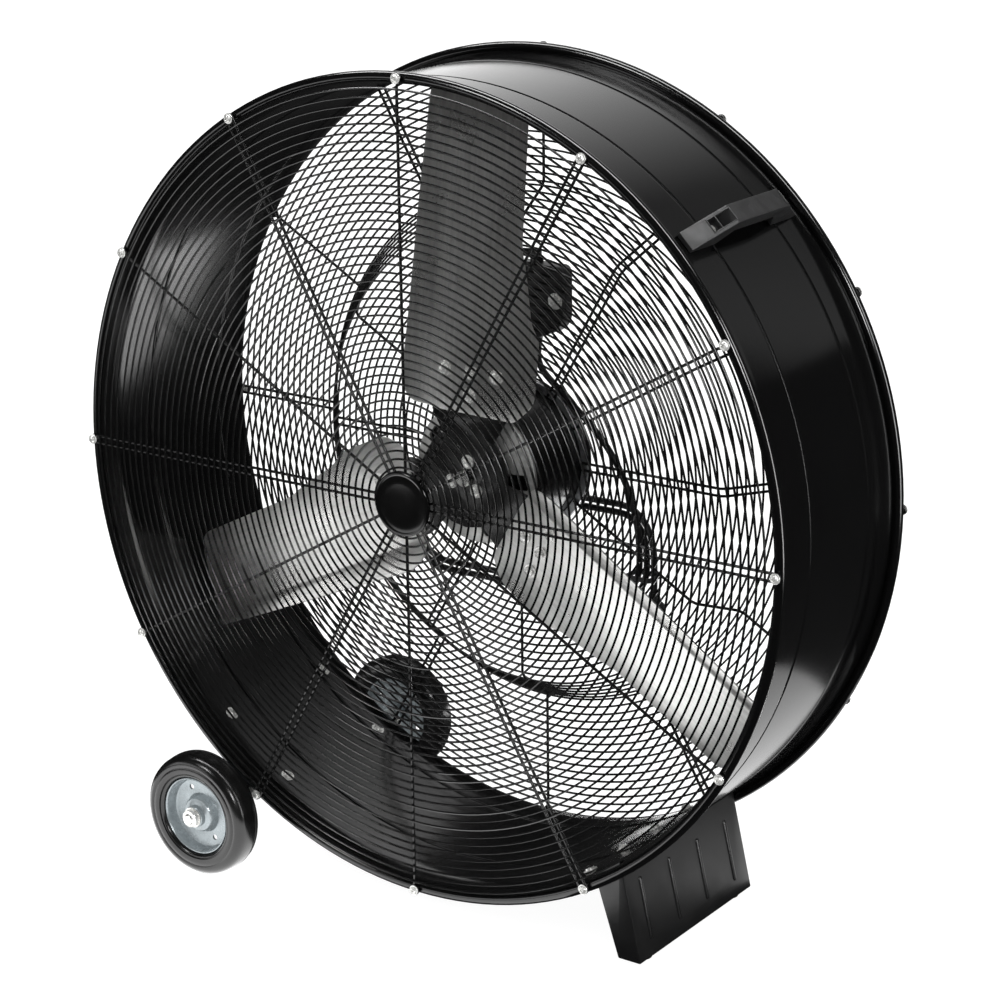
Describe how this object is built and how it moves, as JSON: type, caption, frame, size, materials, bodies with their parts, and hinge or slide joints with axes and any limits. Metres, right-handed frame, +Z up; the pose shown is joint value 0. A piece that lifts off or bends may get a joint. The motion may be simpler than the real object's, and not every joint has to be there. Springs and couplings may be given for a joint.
{
  "type": "drum fan",
  "caption": "Large drum fan on two wheels and a sheet-metal foot, with wire guards, a direct-drive rotor, a carry handle, a switch box and a coiled mains cord.",
  "frame": {"origin": "bottom centre of the bounding box, on the floor under the middle of the drum", "axes": "+Y along the drum's axis from the front guard to the rear guard, +X towards the foot's side, +Z up"},
  "size_m": [0.9928, 0.461, 1.0109],
  "materials": {
    "drum_paint": "gloss",
    "wire_paint": "gloss",
    "satin_paint": "satin",
    "zinc": "satin",
    "shaft_steel": "satin",
    "blade_metal": "satin",
    "cast_metal": "matte",
    "plate_metal": "satin",
    "black_plastic": "matte",
    "hub_plastic": "gloss",
    "tyre_rubber": "satin",
    "cord_rubber": "matte"
  },
  "bodies": {
    "frame": {"drum_shell": "drum_paint", "front_guard": "wire_paint", "rear_guard": "wire_paint", "front_screw_1": "zinc", "front_screw_2": "zinc", "front_screw_3": "zinc", "front_screw_4": "zinc", "front_screw_5": "zinc", "front_screw_6": "zinc", "front_screw_7": "zinc", "front_screw_8": "zinc", "front_screw_9": "zinc", "front_screw_10": "zinc", "front_screw_11": "zinc", "front_screw_12": "zinc", "hub_disc": "hub_plastic", "motor_body": "satin_paint", "motor_bell": "cast_metal", "motor_plate": "plate_metal", "terminal_box": "black_plastic", "switch_box": "black_plastic", "box_screw": "zinc", "lead_gland": "black_plastic", "cord_gland": "black_plastic", "motor_lead": "cord_rubber", "mains_cord": "cord_rubber", "mains_coil": "cord_rubber", "mains_plug": "black_plastic", "cord_tie": "black_plastic", "wheel_carriage": "drum_paint", "carriage_bolt_1": "zinc", "carriage_bolt_2": "zinc", "carriage_bolt_3": "zinc", "carriage_bolt_4": "zinc", "wheel_axle": "shaft_steel", "front_axle_nut": "zinc", "rear_axle_nut": "zinc", "foot_bracket": "satin_paint", "front_foot_pad": "tyre_rubber", "rear_foot_pad": "tyre_rubber", "foot_bolt_1": "zinc", "foot_bolt_2": "zinc", "foot_bolt_3": "zinc", "foot_bolt_4": "zinc", "handle": "black_plastic", "handle_screw_1": "zinc", "handle_screw_2": "zinc"},
    "rotor": {"fan_shaft": "shaft_steel", "fan_spider": "satin_paint", "fan_blade_1": "blade_metal", "fan_blade_2": "blade_metal", "fan_blade_3": "blade_metal", "hub_bolt_1": "zinc", "hub_bolt_2": "zinc", "hub_bolt_3": "zinc"},
    "front_wheel": {"front_tyre": "tyre_rubber", "front_wheel_disc": "zinc"},
    "rear_wheel": {"rear_tyre": "tyre_rubber", "rear_wheel_disc": "zinc"},
    "knob": {"switch_knob": "black_plastic"}
  },
  "joints": [
    {"name": "fan_spin", "type": "hinge", "parent": "frame", "child": "rotor", "pos_m": [0, -0.026, 0.5145], "axis": [0, 1, 0], "continuous": true},
    {"name": "front_wheel_spin", "type": "hinge", "parent": "frame", "child": "front_wheel", "pos_m": [-0.283, -0.202, 0.0785], "axis": [0, 1, 0], "continuous": true},
    {"name": "rear_wheel_spin", "type": "hinge", "parent": "frame", "child": "rear_wheel", "pos_m": [-0.283, 0.202, 0.0785], "axis": [0, 1, 0], "continuous": true},
    {"name": "knob_turn", "type": "hinge", "parent": "frame", "child": "knob", "pos_m": [0.026, 0.112, 0.7125], "axis": [0, 1, 0], "range_deg": [0, 135]}
  ]
}
